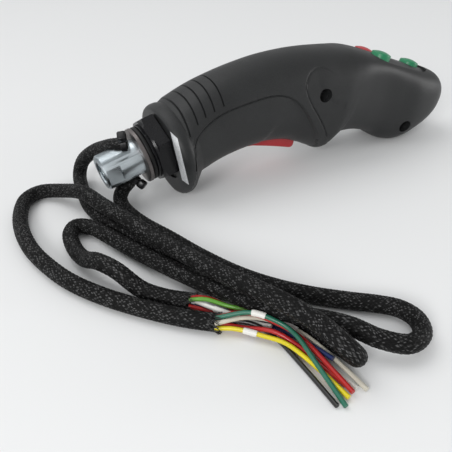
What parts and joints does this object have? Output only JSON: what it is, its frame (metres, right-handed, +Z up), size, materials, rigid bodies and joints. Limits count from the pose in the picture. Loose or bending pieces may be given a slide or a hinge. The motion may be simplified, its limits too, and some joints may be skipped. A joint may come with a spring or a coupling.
{
  "type": "joystick handle",
  "caption": "Palm-grip industrial joystick handle with push buttons, a hinged dead-man bar and a steel adapter with braided looms, lying on its finger side.",
  "frame": {"origin": "centre of the bottom of the handle's box without its looms, on the table it lies on", "axes": "+X along the handle from the steel adapter to the head, +Z up from the table, +Y to the far half shell"},
  "size_m": [0.2365, 0.174, 0.0573],
  "materials": {
    "grip_plastic": "finely textured moulded charcoal plastic",
    "plate_plastic": "satin black moulded plastic",
    "button_green": "smooth satin green",
    "button_red": "smooth satin red",
    "trigger_red": "smooth satin red",
    "switch_plastic": "moulded black",
    "spring_steel": "drawn wire",
    "fastener_steel": "zinc plated",
    "insert_brass": "knurled brass",
    "zinc_steel": "bright zinc plate, turned and milled",
    "black_coating": "glossy black coating",
    "seal_rubber": "smooth black rubber",
    "washer_steel": "dull plated",
    "braid": "open black polyester braid with grey flecks",
    "tie_plastic": "black nylon",
    "wire_insulation": "PVC insulation in several colours",
    "marker_white": "blank white heat-shrink sleeve"
  },
  "bodies": {
    "grip": {"shell_near": "grip_plastic", "shell_far": "grip_plastic", "shell_screws": "fastener_steel", "screw_inserts": "insert_brass", "button_plate": "plate_plastic", "switch_near": "switch_plastic", "switch_far": "switch_plastic", "switch_front": "switch_plastic", "spring_near": "spring_steel", "spring_far": "spring_steel", "spring_front": "spring_steel", "deadman_pin": "fastener_steel", "deadman_spring": "spring_steel", "deadman_switch": "switch_plastic", "inner_loom": "braid", "adapter": "zinc_steel", "collar": "black_coating", "lock_pin": "fastener_steel", "hex_nut": "black_coating", "seal_ring": "seal_rubber", "washer": "washer_steel", "sleeve_a": "braid", "sleeve_b": "braid", "tie_a": "tie_plastic", "tie_b": "tie_plastic", "wires_a": "wire_insulation", "wires_b": "wire_insulation", "wire_markers": "marker_white"},
    "button_near": {"button_near": "button_green"},
    "button_far": {"button_far": "button_red"},
    "button_front": {"button_front": "button_green"},
    "deadman": {"deadman_bar": "trigger_red"}
  },
  "joints": [
    {"name": "button_near_press", "type": "slide", "parent": "grip", "child": "button_near", "axis": [-0.3518, 0, -0.9361], "range_m": [0, 0.0016], "stiffness_N_per_m": 400, "springref_m": -0.002, "deforming": ["spring_near"]},
    {"name": "button_far_press", "type": "slide", "parent": "grip", "child": "button_far", "axis": [-0.3518, 0, -0.9361], "range_m": [0, 0.0016], "stiffness_N_per_m": 400, "springref_m": -0.002, "deforming": ["spring_far"]},
    {"name": "button_front_press", "type": "slide", "parent": "grip", "child": "button_front", "axis": [-0.3518, 0, -0.9361], "range_m": [0, 0.0016], "stiffness_N_per_m": 400, "springref_m": -0.002, "deforming": ["spring_front"]},
    {"name": "deadman_squeeze", "type": "hinge", "parent": "grip", "child": "deadman", "pos_m": [-0.02587, 0, 0.01985], "axis": [0, -1, 0], "range_deg": [0, 5], "stiffness_Nm_per_rad": 0.6, "springref_deg": -5.73, "deforming": ["deadman_spring"]}
  ]
}
